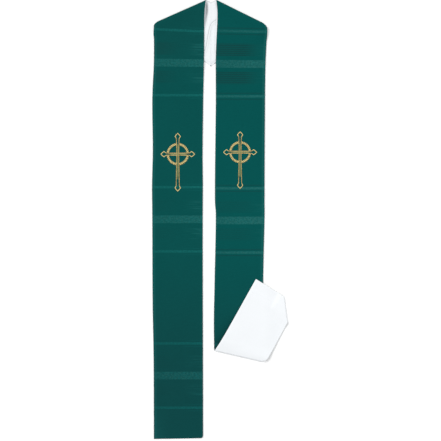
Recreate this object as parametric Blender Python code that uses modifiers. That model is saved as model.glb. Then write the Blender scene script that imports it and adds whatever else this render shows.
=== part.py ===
"""A clerical stole laid flat, face up, with one end turned back.

Each half of the stole is one long strip: a patterned shell over a plain lining. It lies as a front panel,
folds over at the shoulder and runs behind the front panels to the seam at the centre back. The right half's
lower end is turned back over its own panel, with its far corner tucked under, so the lining shows there.

Each strip is cut flat, creased along its fold lines, folded and laid down. Lengths in the tables are in
millimetres, x to the right and y up from the middle of the neck. The model is in metres, +Z up, resting
on z = 0, and its origin is the middle of its footprint.
"""

import math
from collections import namedtuple

import bmesh
import bpy
from mathutils import Vector

MM = 0.001

# The cloth, from face to back.
SHELL_WALL = 1.2 * MM
LINING_WALL = 1.0 * MM
SEAM_GAP = 0.3 * MM
CLOTH = SHELL_WALL + SEAM_GAP + LINING_WALL
LEVEL = CLOTH + SEAM_GAP  # from one layer of the stole to the next one up
LINING_INSET = 1.5 * MM  # how far the lining stops short of the shell's edge

# The folds.
SOFT_FOLD = 3.0 * MM  # radius of an unpressed fold, at the middle of the cloth
FLAT_FOLD = LEVEL / 2  # radius of a fold that lies quite flat
SETTLE = 42 * MM  # past a soft fold, the upper layer has come down onto the lower one
DROP = 45 * MM  # past the edge of a lower layer, the upper one has come down to the surface
ARC_STEPS = 8
CORNER_ARC_STEPS = 5
SETTLE_SHARES = (0.1, 0.25, 0.45, 0.7, 1.0)

COLUMNS = 10  # faces across a strip

# The embroidered cross, on a plate that lies on the shell.
CROSS_WALL = 0.8 * MM
CROSS_LINE = 3.6 * MM
CROSS_UP = 65.5 * MM
CROSS_DOWN = 114.0 * MM
CROSS_SIDE = 53.6 * MM
POST_HALF_WIDTH = 5.7 * MM
POST_FOOT_HALF_WIDTH = 7.1 * MM
BAR_HALF_WIDTH = 5.0 * MM
HEAD_HALF_WIDTH = 9.9 * MM
HEAD_LENGTH = 13.0 * MM
HEAD_SHOULDER = 5.5 * MM
RING_RADIUS = 33.5 * MM
RING_BAND = 9.0 * MM
RING_SIDES = 56

# Places on the laid stole.
LEFT_CROSS_CENTRE = Vector((-100.3, -463.3)) * MM
RIGHT_CROSS_CENTRE = Vector((88.2, -457.8)) * MM

# One row for each section of a strip, from hem to centre back: its ends as the stole lies, the layer it lies
# in, and the number of faces from it to the next section.
Section = namedtuple("Section", "place left_x left_y right_x right_y layer faces")

LEFT_SECTIONS = (
    Section("hem", -172.4, -1323.6, -23.6, -1321.2, "front", 5),
    Section("calf", -173.2, -1085.0, -24.2, -1085.0, "front", 4),
    Section("knee", -175.8, -900.0, -24.8, -900.0, "front", 5),
    Section("thigh", -177.0, -660.0, -25.3, -660.0, "front", 4),
    Section("waist", -175.5, -450.0, -25.6, -450.0, "front", 4),
    Section("chest", -177.0, -300.0, -23.9, -300.0, "front", 6),
    Section("collarbone", -172.6, -190.0, -21.6, -160.0, "front", 6),
    Section("shoulder front", -172.2, -119.0, -20.6, -51.0, "front", 1),
    Section("shoulder", -172.1, -66.0, -18.1, 2.2, "fold", 1),
    Section("centre back", -0.15, -195.7, -0.15, -5.1, "back", 0),
)

RIGHT_SECTIONS = (
    Section("hem", 136.2, -839.9, 259.7, -917.2, "turned", 8),
    Section("past the turn", 41.8, -1001.9, 195.5, -1037.5, "turned", 1),
    Section("turned end", 10.3, -1056.1, 164.0, -1091.7, "fold", 1),
    Section("before the turn", 10.1, -1040.0, 162.8, -1075.6, "front", 2),
    Section("calf", 8.8, -960.0, 160.0, -970.0, "front", 3),
    Section("knee", 11.0, -845.0, 157.6, -845.0, "front", 5),
    Section("thigh", 14.6, -660.0, 161.6, -660.0, "front", 4),
    Section("waist", 13.0, -480.0, 162.4, -480.0, "front", 4),
    Section("chest", 14.6, -310.0, 163.1, -310.0, "front", 6),
    Section("collarbone", 14.8, -165.0, 164.4, -200.0, "front", 6),
    Section("shoulder front", 18.6, -50.0, 167.6, -126.0, "front", 1),
    Section("shoulder", 16.6, 2.6, 170.2, -73.2, "fold", 1),
    Section("centre back", 0.15, -5.1, 0.15, -195.7, "back", 0),
)

# The corner of the turned end that is tucked under it, along this line as the stole lies.
TUCK_LOW = Vector((231.6, -971.5)) * MM
TUCK_HIGH = Vector((220.5, -890.0)) * MM

# A fold line, with the cloth that turns on its left. way is 1 where that cloth turns up and over, -1 under.
Fold = namedtuple("Fold", "start along past radius way steps")


def line_fold(start, end, radius, way, steps):
    """The fold between two points, where the flat cloth starts to turn."""
    along = (end - start).normalized()
    return Fold(start, along, Vector((-along.y, along.x)), radius, way, steps)


def seen_fold(start, end, radius, way, steps):
    """The fold whose outermost edge, as it lies, runs between two points."""
    seen = line_fold(start, end, radius, way, steps)
    return seen._replace(start=start - seen.past * (radius + CLOTH / 2))


def distance_past(point, fold):
    return (point.xy - fold.start).dot(fold.past)


def laid_straight(point, fold):
    """Where a point of the turned cloth was before the fold."""
    inside = -distance_past(point, fold)
    return point + fold.past * (2 * inside + math.pi * fold.radius)


def turned(point, fold):
    """Where a point of the flat cloth lands once the fold is made."""
    past = distance_past(point, fold)
    if past <= 0:
        return point
    angle = min(past / fold.radius, math.pi)
    beyond = max(past - math.pi * fold.radius, 0)
    arm = fold.radius - fold.way * point.z
    foot = point.xy - fold.past * past
    plan = foot + fold.past * (arm * math.sin(angle) - beyond)
    return Vector((plan.x, plan.y, fold.way * (fold.radius - arm * math.cos(angle))))


def eased(share):
    """0 to 1 with a soft start and end."""
    share = min(max(share, 0), 1)
    return share * share * (3 - 2 * share)


def spline(values, place):
    """A smooth curve through evenly placed values, read at a place counted in them."""
    index = min(int(place), len(values) - 2)
    share = place - index
    before = values[max(index - 1, 0)]
    start, end = values[index], values[index + 1]
    after = values[min(index + 2, len(values) - 1)]
    slope_in, slope_out = (end - before) / 2, (after - start) / 2
    return (
        start * (2 * share**3 - 3 * share**2 + 1)
        + slope_in * (share**3 - 2 * share**2 + share)
        + end * (3 * share**2 - 2 * share**3)
        + slope_out * (share**3 - share**2)
    )


class Half:
    """One half of the stole: its sections, its folds, and how it lies."""

    def __init__(self, sections, lower_end_turned):
        self.sections = sections
        ends = {section.place: self.laid_ends(section) for section in sections}
        self.shoulder = seen_fold(*ends["shoulder"], SOFT_FOLD, -1, ARC_STEPS)
        self.folds = [self.shoulder]
        self.turned_end = None
        if lower_end_turned:
            left, right = ends["turned end"]
            self.turned_end = seen_fold(right, left, SOFT_FOLD, 1, ARC_STEPS)
            self.tuck = line_fold(
                laid_straight(TUCK_LOW, self.turned_end),
                laid_straight(TUCK_HIGH, self.turned_end),
                FLAT_FOLD,
                1,
                CORNER_ARC_STEPS,
            )
            inward = self.tuck.past * (FLAT_FOLD + CLOTH / 2)
            self.tuck = self.tuck._replace(start=self.tuck.start - inward)
            self.folds = [self.tuck, self.turned_end, self.shoulder]
            self.panel_edge = ends["turned end"][1].x
            tip = laid_straight(ends["hem"][1], self.turned_end)
            tucked_tip = turned(turned(tip.to_3d(), self.tuck), self.turned_end)
            self.tucked_corner = (TUCK_HIGH, TUCK_LOW, tucked_tip.xy)
        outer = max(ends["shoulder"], key=lambda end: abs(end.x))
        lowest_back = min(ends["centre back"], key=lambda end: end.y)
        pair = sorted((outer, lowest_back), key=lambda end: -end.x)
        self.back_edge = line_fold(*pair, 0, 0, 0)

    @staticmethod
    def laid_ends(section):
        left = Vector((section.left_x, section.left_y)) * MM
        return left, Vector((section.right_x, section.right_y)) * MM

    def flat_ends(self, section):
        """The two ends of a section on the flat strip."""
        ends = self.laid_ends(section)
        if section.layer == "back":
            return [laid_straight(end, self.shoulder) for end in ends]
        if section.layer == "turned":
            return [laid_straight(end, self.turned_end) for end in ends]
        if section.layer == "fold":
            fold = self.shoulder if section.place == "shoulder" else self.turned_end
            slide = Vector((0, 1 / fold.past.y))
            return [end - slide * distance_past(end, fold) for end in ends]
        return ends

    def flat_rows(self, inset):
        """The ends of each row of points on the flat strip, drawn in from its edges by inset."""
        ends = [self.flat_ends(section) for section in self.sections]
        lefts, rights = zip(*ends)
        rows = []
        for index, section in enumerate(self.sections):
            for face in range(max(section.faces, 1)):
                place = index + face / max(section.faces, 1)
                rows.append([spline(lefts, place), spline(rights, place)])
        up = (rows[1][0] - rows[0][0]).normalized()
        rows[0] = [end + up * inset for end in rows[0]]
        for row in rows:
            across = (row[1] - row[0]).normalized()
            row[0] = row[0] + across * inset
            row[1] = row[1] - across * inset
        return rows

    def crease_distances(self, fold):
        """How far past the fold's start the flat strip gets a line of points."""
        turn = math.pi * fold.radius
        distances = [turn * (step + 1) / fold.steps for step in range(fold.steps)]
        if fold is self.turned_end:
            distances += [turn + SETTLE * share for share in SETTLE_SHARES]
        if fold is self.shoulder:
            distances += [-SETTLE * share for share in SETTLE_SHARES]
        else:
            distances.append(0)
        return distances

    def lies_over(self, plan):
        """1 where the turned end lies on its panel or its tucked corner, to 0 where it is down beside them."""
        past_panel = (plan.x - self.panel_edge) / DROP
        corner_edges = zip(self.tucked_corner, self.tucked_corner[1:] + self.tucked_corner[:1])
        past_corner = max(
            distance_past(plan, line_fold(start, end, 0, 0, 0)) / (DROP / 2) for start, end in corner_edges
        )
        return max(1 - eased(past_panel), 1 - eased(past_corner))

    def lift(self, flat, plan):
        """How far a point is raised or lowered to lie on what is under it."""
        spare = 2 * SOFT_FOLD - LEVEL
        from_shoulder = -distance_past(flat, self.shoulder)
        if from_shoulder <= 0:
            return 2 * SOFT_FOLD
        over_back = 1 - eased(distance_past(plan, self.back_edge) / DROP)
        lift = LEVEL * over_back + spare * (1 - eased(from_shoulder / SETTLE))
        if self.turned_end:
            past = distance_past(flat, self.turned_end) - math.pi * SOFT_FOLD
            if past > 0:
                lift -= spare * eased(past / SETTLE) + LEVEL * (1 - self.lies_over(plan))
        return lift

    def laid(self, flat):
        """Where a point of the flat strip lies on the laid stole, at the middle of the cloth."""
        point = flat.copy()
        for fold in self.folds:
            point = turned(point, fold)
        point.z += CLOTH / 2 + self.lift(flat, point.xy)
        return point


def strip_mesh(name, half, inset):
    """The middle surface of one half, folded and laid down, with its face on the shell's side."""
    rows = half.flat_rows(inset)
    grid = bmesh.new()
    bmesh.ops.create_grid(grid, x_segments=COLUMNS, y_segments=len(rows) - 1, size=1)
    for vert in grid.verts:
        left, right = rows[round((vert.co.y + 1) / 2 * (len(rows) - 1))]
        vert.co = left.lerp(right, (vert.co.x + 1) / 2).to_3d()
    for fold in half.folds:
        for distance in half.crease_distances(fold):
            bmesh.ops.bisect_plane(
                grid,
                geom=grid.verts[:] + grid.edges[:] + grid.faces[:],
                dist=0.02 * MM,
                plane_co=(fold.start + fold.past * distance).to_3d(),
                plane_no=fold.past.to_3d(),
            )
    bmesh.ops.triangulate(grid, faces=grid.faces[:])
    for vert in grid.verts:
        vert.co = half.laid(vert.co)
    mesh = bpy.data.meshes.new(name)
    grid.to_mesh(mesh)
    grid.free()
    mesh.shade_smooth()
    return mesh


def add_cloth(name, half, inset, wall, middle, material):
    """One cloth piece of a half. middle is the height of its wall's middle above the half's middle surface."""
    piece = bpy.data.objects.new(name, strip_mesh(name, half, inset))
    solidify = piece.modifiers.new("wall", "SOLIDIFY")
    solidify.thickness = wall
    solidify.offset = 2 * middle / wall
    solidify.use_even_offset = True
    solidify.use_quality_normals = True
    piece.data.materials.append(material)
    return piece


def cross_outline():
    """The corners of the cross, anticlockwise from the top."""
    arms = (
        # turn from upright, reach, half width at the middle and at the head
        (0, CROSS_UP, POST_HALF_WIDTH, POST_HALF_WIDTH, BAR_HALF_WIDTH),
        (90, CROSS_SIDE, BAR_HALF_WIDTH, BAR_HALF_WIDTH, POST_HALF_WIDTH),
        (180, CROSS_DOWN, POST_HALF_WIDTH, POST_FOOT_HALF_WIDTH, BAR_HALF_WIDTH),
        (270, CROSS_SIDE, BAR_HALF_WIDTH, BAR_HALF_WIDTH, POST_HALF_WIDTH),
    )
    corners = []
    for turn, reach, root, neck, inner in arms:
        side = [
            Vector((root, inner)),
            Vector((neck, reach - HEAD_LENGTH - HEAD_SHOULDER)),
            Vector((HEAD_HALF_WIDTH, reach - HEAD_LENGTH)),
        ]
        other = [Vector((-point.x, point.y)) for point in reversed(side[1:])]
        angle = math.radians(turn)
        for point in side + [Vector((0, reach))] + other:
            x = point.x * math.cos(angle) - point.y * math.sin(angle)
            y = point.x * math.sin(angle) + point.y * math.cos(angle)
            corners.append(Vector((x, y)))
    return corners


def inside_outline(corners, distance):
    """The outline drawn in by a distance, all along."""
    drawn_in = []
    for index, corner in enumerate(corners):
        before = (corner - corners[index - 1]).normalized()
        after = (corners[(index + 1) % len(corners)] - corner).normalized()
        inward = Vector((-before.y - after.y, before.x + after.x)).normalized()
        drawn_in.append(corner + inward * distance / inward.dot(Vector((-after.y, after.x))))
    return drawn_in


def circle(radius):
    turns = [2 * math.pi * side / RING_SIDES for side in range(RING_SIDES)]
    return [Vector((math.cos(turn), math.sin(turn))) * radius for turn in turns]


def plate(name, outlines, wall):
    """A flat plate between closed outlines, as a closed mesh."""
    curve = bpy.data.curves.new(name, "CURVE")
    curve.dimensions = "2D"
    curve.fill_mode = "BOTH"
    curve.extrude = wall / 2
    for outline in outlines:
        line = curve.splines.new("POLY")
        line.points.add(len(outline) - 1)
        for point, place in zip(line.points, outline):
            point.co = (place.x, place.y, 0, 1)
        line.use_cyclic_u = True
    guide = bpy.data.objects.new(name, curve)
    bpy.context.scene.collection.objects.link(guide)
    graph = bpy.context.evaluated_depsgraph_get()
    mesh = bpy.data.meshes.new_from_object(guide.evaluated_get(graph))
    bpy.data.objects.remove(guide)
    sheet = bmesh.new()
    sheet.from_mesh(mesh)
    bmesh.ops.remove_doubles(sheet, verts=sheet.verts[:], dist=0.001 * MM)
    bmesh.ops.recalc_face_normals(sheet, faces=sheet.faces[:])
    sheet.to_mesh(mesh)
    sheet.free()
    return bpy.data.objects.new(name, mesh)


def cross_mesh():
    """The ringed cross as one plate: an outlined cross, with a ring that stops at its outline."""
    outline = cross_outline()
    cross = plate("cross", [outline, inside_outline(outline, CROSS_LINE)], CROSS_WALL)
    ring = plate("ring", [circle(RING_RADIUS), circle(RING_RADIUS - RING_BAND)], CROSS_WALL)
    core = plate("core", [inside_outline(outline, CROSS_LINE / 2)], 3 * CROSS_WALL)
    for piece in (cross, ring, core):
        bpy.context.scene.collection.objects.link(piece)
    cut = ring.modifiers.new("stop at the cross", "BOOLEAN")
    cut.operation = "DIFFERENCE"
    cut.object = core
    join = cross.modifiers.new("join the ring", "BOOLEAN")
    join.operation = "UNION"
    join.object = ring
    graph = bpy.context.evaluated_depsgraph_get()
    mesh = bpy.data.meshes.new_from_object(cross.evaluated_get(graph))
    for piece in (cross, ring, core):
        bpy.data.objects.remove(piece)
    mesh.materials.clear()
    return mesh


def add_cross(name, mesh, centre, material):
    """A cross lying on the face of a front panel."""
    cross = bpy.data.objects.new(name, mesh)
    if not mesh.materials:
        mesh.materials.append(material)
    cross.location = (centre.x, centre.y, CLOTH + SEAM_GAP + CROSS_WALL / 2)
    return cross


def plain_material(name, colour, roughness, sheen):
    material = bpy.data.materials.new(name)
    material.use_nodes = True
    shader = material.node_tree.nodes["Principled BSDF"]
    shader.inputs["Base Color"].default_value = (*colour, 1)
    shader.inputs["Roughness"].default_value = roughness
    shader.inputs["Metallic"].default_value = 0
    shader.inputs["Sheen Weight"].default_value = sheen
    return material


def clear_scene():
    for old in list(bpy.data.objects):
        bpy.data.objects.remove(old)


def footprint_centre(pieces):
    """The middle of the box round all pieces, seen from above."""
    graph = bpy.context.evaluated_depsgraph_get()
    corners = []
    for piece in pieces:
        done = piece.evaluated_get(graph)
        corners += [done.matrix_world @ Vector(corner) for corner in done.bound_box]
    lows = Vector((min(corner.x for corner in corners), min(corner.y for corner in corners)))
    highs = Vector((max(corner.x for corner in corners), max(corner.y for corner in corners)))
    return (lows + highs) / 2


def main():
    clear_scene()
    collection = bpy.data.collections.new("clerical_stole")
    bpy.context.scene.collection.children.link(collection)

    green = {side: plain_material(f"green_brocade_{side}", (0.008, 0.078, 0.074), 0.8, 0.3) for side in SIDES}
    white = {side: plain_material(f"white_lining_{side}", (0.92, 0.94, 0.96), 0.5, 0.1) for side in SIDES}
    gold = plain_material("gold_thread", (0.62, 0.40, 0.14), 0.4, 0.2)

    pieces = []
    for side, sections in SIDES.items():
        half = Half(sections, lower_end_turned=side == "right")
        shell_middle = (CLOTH - SHELL_WALL) / 2
        lining_middle = -(CLOTH - LINING_WALL) / 2
        pieces.append(add_cloth(f"shell_{side}", half, 0, SHELL_WALL, shell_middle, green[side]))
        pieces.append(
            add_cloth(f"lining_{side}", half, LINING_INSET, LINING_WALL, lining_middle, white[side])
        )
    cross = cross_mesh()
    pieces.append(add_cross("cross_left", cross, LEFT_CROSS_CENTRE, gold))
    pieces.append(add_cross("cross_right", cross, RIGHT_CROSS_CENTRE, gold))

    stole = bpy.data.objects.new("clerical_stole", None)
    collection.objects.link(stole)
    for piece in pieces:
        collection.objects.link(piece)
        piece.parent = stole
    bpy.context.view_layer.update()
    centre = footprint_centre(pieces)
    stole.location = (-centre.x, -centre.y, 0)


SIDES = {"left": LEFT_SECTIONS, "right": RIGHT_SECTIONS}

main()
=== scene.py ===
"""The looks of a clerical stole that lies flat, face up, with one end turned back.

Each half is one long strip: a green brocade shell over a white lining, seamed along its edges. Both cloths
are cut flat, folded and laid down as in the CAD source, so they lie where its solids are. Places are counted
from the middle of the stole's top, x to the right and y up, and OFFSET moves them into the row frame.
"""

import math
from collections import namedtuple
from functools import reduce
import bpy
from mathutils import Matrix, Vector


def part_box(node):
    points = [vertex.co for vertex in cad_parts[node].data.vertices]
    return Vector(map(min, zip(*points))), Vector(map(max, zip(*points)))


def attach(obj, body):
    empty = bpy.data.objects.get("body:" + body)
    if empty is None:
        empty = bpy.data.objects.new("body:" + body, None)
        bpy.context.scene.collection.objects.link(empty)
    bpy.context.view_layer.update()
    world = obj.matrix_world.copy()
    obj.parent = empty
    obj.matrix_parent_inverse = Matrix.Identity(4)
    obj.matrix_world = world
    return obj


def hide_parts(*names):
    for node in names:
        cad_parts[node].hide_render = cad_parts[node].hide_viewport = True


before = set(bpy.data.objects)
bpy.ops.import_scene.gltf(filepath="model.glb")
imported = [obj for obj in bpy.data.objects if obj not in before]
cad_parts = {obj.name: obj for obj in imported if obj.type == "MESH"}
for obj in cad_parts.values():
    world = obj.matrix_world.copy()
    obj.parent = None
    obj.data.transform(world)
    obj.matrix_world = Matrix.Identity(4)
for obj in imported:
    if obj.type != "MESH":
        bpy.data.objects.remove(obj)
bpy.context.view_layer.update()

from types import SimpleNamespace

import bmesh
import bpy
import numpy as np
from mathutils import Vector

MM = 0.001

# Sizes of the whole cloth and its folds, as in the CAD source.
CLOTH = 2.5 * MM  # from face to back
LEVEL = 2.8 * MM  # from one layer of the stole to the next one up
SOFT_FOLD = 3 * MM  # radius of an unpressed fold, at the middle of the cloth
FLAT_FOLD = LEVEL / 2
SETTLE = 42 * MM  # past a soft fold, the upper layer has come down onto the lower one
DROP = 45 * MM  # past the edge of a lower layer, the upper one has come down to the surface

ARC_STEPS = 12  # in which a soft fold bends
FLAT_ARC_STEPS = 7

# One row for each section of a strip, from hem to centre back: its ends as the stole lies, in millimetres,
# and its layer. They are the CAD source's, some moved by up to 3 mm, and the hip is added.
Section = namedtuple("Section", "place left_x left_y right_x right_y layer", defaults=("front",))

LEFT_SECTIONS = (
    ("hem", -172.4, -1323, -23.8, -1320.4),
    ("calf", -173.2, -1085, -24.2, -1085),
    ("knee", -176.3, -900, -24.8, -900),
    ("thigh", -177.2, -660, -25, -660),
    ("hip", -178, -555, -24.5, -555),
    ("waist", -175.7, -450, -25.3, -450),
    ("chest", -177.2, -300, -23.4, -300),
    ("collarbone", -172.6, -190, -20.8, -160),
    ("shoulder front", -172.2, -119, -20, -51),
    ("shoulder", -172.1, -67.3, -16.1, 1.7, "fold"),
    ("centre back", -0.02, -197.3, -0.02, -5.1, "back"),
)

RIGHT_SECTIONS = (
    ("hem", 135.7, -839.9, 259.7, -917.2, "turned"),
    ("past the turn", 44.8, -1001.9, 195.5, -1037.5, "turned"),
    ("turned end", 9.9, -1056.1, 164, -1091.7, "fold"),
    ("before the turn", 9.4, -1040, 162.8, -1075.6),
    ("calf", 8.8, -960, 160, -970),
    ("knee", 11, -845, 157.6, -845),
    ("thigh", 14.6, -660, 161.6, -660),
    ("hip", 11.9, -600, 161.6, -600),
    ("waist", 12.6, -480, 162, -480),
    ("chest", 14.6, -310, 163.1, -310),
    ("collarbone", 14.8, -165, 164.4, -200),
    ("shoulder front", 19.6, -50, 167.6, -126),
    ("shoulder", 16.6, 2.6, 170.2, -73.2, "fold"),
    ("centre back", 0.02, -5.1, 0.02, -197.3, "back"),
)

# The corner of the turned end that is tucked under it, along this line as the stole lies.
TUCK_LOW = np.array((231.6, -971.5)) * MM
TUCK_HIGH = np.array((220.5, -890)) * MM

# Corners of the laid outline in mm, the directions of their two edges, and the rounding's reach along each.
CORNERS = (
    ((-172.1, -67.3), ((0.914, 0.405), (0, -1)), (19, 8)),
    ((-23.8, -1320.4), ((-1, -0.017), (0, 1)), (8, 8)),
    ((170.2, -73.2), ((-0.897, 0.443), (-0.05, -0.999)), (22, 11)),
    ((164, -1091.7), ((-0.974, 0.226), (0.503, 0.864)), (15, 17)),
)

# Whether a cloth faces up or down, its face above the middle of the whole, its thickness, and its edges:
# their radius, how far they are inset, and the angles from the underside to the face.
Cloth = namedtuple("Cloth", "facing face sheet radius inset angles")
SHELL = Cloth(1, 1.04 * MM, 0.5 * MM, 1 * MM, 0, np.radians((-25, -5, 15, 35, 58, 90)))
LINING = Cloth(-1, -1.04 * MM, 0.35 * MM, 0.8 * MM, 0.35 * MM, np.radians((8, 28, 48, 68, 90)))

# The grid's lines: how far they are from an edge or the centre back, and the spacing between those.
NEAR_EDGE = np.array((2.3, 4.2, 6.4, 8.4, 9.8, 11.4, 13.6)) * MM
NEAR_CENTRE = np.arange(1.2, 25, 1.2) * MM
SPACING = 3.1 * MM
ROW_PLACES = 4001  # how finely the edges are followed

ALLOWANCE = 9.5 * MM  # width of the seam allowance
ALLOWANCE_RISE = 0.2 * MM
ALLOWANCE_STEP = 3 * MM
# A ridge of the lining's turned-up hem: distance from the hem, half its width, and its height.
HEM_RIDGES = np.array(((17, 1.8, 0.3), (30, 2.4, 0.38))) * MM

WAVE_HEIGHT = 0.42 * MM  # the mean height of the stole's soft waves
TURN_LOFT = 5.5 * MM  # how far the turned end's cloth stands up, past its fold
TURN_OPEN = np.array((34, 48, 120)) * MM  # where it is up, where it starts down, how long that takes
NECK_LOFT = 5 * MM  # and the left panel's inner edge, at the neck
NECK_OPEN = np.array((16, 22, 60)) * MM

# The lining in the neck's gap, between the panels. Its tables are in millimetres.
LINING_ROLL = 0.4 * MM  # past the shell's edge, where the lining is up
SHELL_SHOWN = 1.6 * MM  # how far the shell's edge is out at the places where it shows, and the lining's in
LINING_BACK = 1 * MM
# x of such a place, half its width, and how much the shell shows there, 0 to 1.
SHOWN_PLACES = ((-20.2, 2.4, 0.8), (-0.4, 3, 0.9), (13.2, 2.8, 1))
LOW_EDGE = 8 * MM  # the strip along the back's lower edge that counts as that edge
PRESSED_EDGE = 12 * MM  # how far in from there the cloth is pressed thin, and how thin
PRESSED_SHARE = 0.7
NECK_CREASE = (
    # x of the crease in the lining, from its lower end up, and its y there
    (-19.5, -15.1, -12.7, -10.6, -7.6, -4.5, -2.6, 0, 3.5, 7.6, 15.1),
    (-152, -139.5, -127.4, -112.3, -97.2, -82.1, -75.5, -70, -65.6, -62.2, -58),
)
NECK_HOLLOW = (
    # y, the x of the hollow's middle line there, and how deep it is, 0 to 1, which also sets the lining's
    # painted shade there
    (-84, -58, -36, -14, -3),
    (-18.6, -15.8, -12.9, -12.8, -12.8),
    (0, 0.5, 1, 1, 0.2),
)
HOLLOW_WIDTH = 3.7 * MM
# The line pressed beside the right panel: a place on it, how it leans, and its two ends.
PRESSED_PLACE = np.array((14.4, -50)) * MM
PRESSED_LEAN = 0.033
PRESSED_TOP = -53 * MM
PRESSED_FOOT = -162.875 * MM

# The brocade's pattern, counted from the middle of a wide stripe.
REPEAT = 471.7 * MM
WIDE_STRIPE = {"left": -659.3 * MM, "right": -662.7 * MM}
STRIPE_SLOPE = {"left": 0.045, "right": -0.02}  # how the stripes lean near the neck
WARP_PITCH = 0.92 * MM
WEFT_PITCH = 0.8 * MM

# The embroidered cross. HALF is half a width.
LEFT_CROSS = np.array((-100.3, -463.3)) * MM
RIGHT_CROSS = np.array((87.9, -457.4)) * MM
RIGHT_CROSS_SCALE = 0.98  # it was embroidered a little smaller
CROSS_UP = 65.5 * MM
CROSS_DOWN = 114 * MM
CROSS_SIDE = 53.6 * MM
POST_HALF = 4.15 * MM
POST_HEAD_HALF = 5 * MM
POST_FOOT_HALF = 5.8 * MM
BAR_HALF = 4.3 * MM
HEAD_HALF = 9.1 * MM  # of the bud that ends a bar
HEAD_LENGTH = 11.5 * MM
HEAD_SHOULDER = 7.5 * MM
TIP_INSET = 1.5 * MM  # from a solid's tip to the thread's
POST_LINE = 2.6 * MM  # width of a line of satin stitch near the middle
BAR_LINE = 2.7 * MM
HEAD_LINE = 2.2 * MM
STITCH_SLANT = 0.5 * MM
MIDDLE_GAP = 0.35 * MM  # from a bar's middle to the nearest end of a line's thread
POST_FILLED = (-75 * MM, 31 * MM)  # between these, low stitches go from line to line
BAR_FILLED = (-28 * MM, 28 * MM)
FILL_PITCH = 0.62 * MM
RING_RADIUS = 33.7 * MM
RING_BAND = 6.8 * MM
RING_SLANT = 0.16  # the turn from a thread's inner end to its outer one
RING_BUNDLE = (0, 0, 0, 0.2, 0.8, 1, 1, 0.8, 0.2, 0, 0, 0)  # how deep each thread of a bundle lies
RING_PLACES = 81  # places along a ring's thread, to find where it stops under the bars
THREAD_PITCH = 0.44 * MM
THREAD_RADIUS = 0.26 * MM
RINGS = 7
SIDES = 5
OVER_RING = 0.42 * MM  # how much higher the bars' lines stand where they cross the ring
OVER_BAR = 0.36 * MM  # and the post's where they cross the bar

# A bar of the cross: its right-hand outline while it is upright, its reach each way, its lines' width, where
# it is filled, whether it lies level, how high it starts, how much higher its middle is, and its tone.
Bar = namedtuple("Bar", "outline up down line filled level base over tone")

FRAME_WIDTH = 1.3318  # metres across the photograph, at the stole
CAMERA_PLACE = (0.0016, -0.0033, 6)
SENSOR = 36
SUN_SPREAD = math.radians(28)
FLOOR_HALF = 20
FLOOR_HEIGHT = -0.3 * MM

Fold = namedtuple("Fold", "start along past radius way steps")


def offset_to_frame():
    """From the tables' origin to the row frame's, read off a packed cross."""
    low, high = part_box("cross_left")
    cross_middle = LEFT_CROSS + np.array((0, (CROSS_UP - CROSS_DOWN) / 2))
    return np.array((low + high)[:2]) / 2 - cross_middle


OFFSET = offset_to_frame()


def quarter_turned(places):
    """Places or directions turned a quarter anticlockwise."""
    return np.stack((-places[..., 1], places[..., 0]), axis=-1)


def line_fold(start, end, radius=0, way=0, steps=0):
    """The fold between two points, with the cloth that turns on its left. No radius makes it a line."""
    along = (end - start) / np.linalg.norm(end - start)
    return Fold(start, along, quarter_turned(along), radius, way, steps)


def seen_fold(start, end, radius, way, steps):
    """The fold whose outermost edge, as it lies, runs between two points."""
    seen = line_fold(start, end, radius, way, steps)
    return seen._replace(start=start - seen.past * (radius + CLOTH / 2))


def distance_past(points, fold):
    return (points[..., :2] - fold.start) @ fold.past


def laid_straight(points, fold):
    """Where points of the turned cloth were before the fold."""
    past = math.pi * fold.radius - 2 * distance_past(points, fold)
    return points + past[..., None] * fold.past


def turned(points, fold):
    """Where points (x, y, height) of the flat cloth land once the fold is made."""
    past = distance_past(points, fold)
    angle = np.clip(past / fold.radius, 0, math.pi)
    beyond = np.maximum(past - math.pi * fold.radius, 0)
    arm = fold.radius - fold.way * points[:, 2]
    foot = points[:, :2] - past[:, None] * fold.past
    plan = foot + (arm * np.sin(angle) - beyond)[:, None] * fold.past
    height = fold.way * (fold.radius - arm * np.cos(angle))
    return np.where(past[:, None] <= 0, points, np.column_stack((plan, height)))


def eased(share):
    """0 to 1 with a soft start and end."""
    share = np.clip(share, 0, 1)
    return share * share * (3 - 2 * share)


def bump(distance, width):
    """1 at no distance, and 0 from about two widths on."""
    return np.exp(-((distance / width) ** 2))


def rise_and_fall(distance, rise, hold, fall):
    """0 at no distance, 1 from rise to hold, and 0 again a fall's length past hold."""
    return eased(distance / rise) * (1 - eased((distance - hold) / fall))


def spline(values, places):
    """A smooth curve through evenly placed values, read at places counted in them."""
    index = np.minimum(places.astype(int), len(values) - 2)
    share = (places - index)[:, None]
    near = (np.clip(index + step, 0, len(values) - 1) for step in (-1, 0, 1, 2))
    before, start, end, after = (values[at] for at in near)
    slope_in, slope_out = (end - before) / 2, (after - start) / 2
    bend = slope_in * (1 - share) - slope_out * share
    return start + (end - start) * eased(share) + share * (1 - share) * bend


def rounded(plan):
    """The plan with its sharp corners rounded."""
    for corner, axes, reach in CORNERS:
        reach = np.array(reach) * MM
        place = (plan - np.array(corner) * MM) @ np.linalg.inv(axes)
        near = np.clip(1 - place / reach, 0, 1.1)
        pulled = near * np.sqrt(1 - near[:, ::-1] ** 2 / 2)
        plan = plan + ((near - pulled) * reach) @ axes
    return plan


def waves(plan):
    """How far the soft waves raise the stole."""
    x, y = plan[:, 0], plan[:, 1]
    long_wave = np.sin(y * 21 + x * 6 + 0.6) * np.sin(y * 8.3 - x * 9 + 2.1)
    cross_wave = np.sin(x * 34 + np.sin(y * 13) * 1.3 + 0.4) * np.sin(y * 17 + 1)
    return (1 + 0.62 * long_wave + 0.38 * cross_wave) * WAVE_HEIGHT


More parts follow.
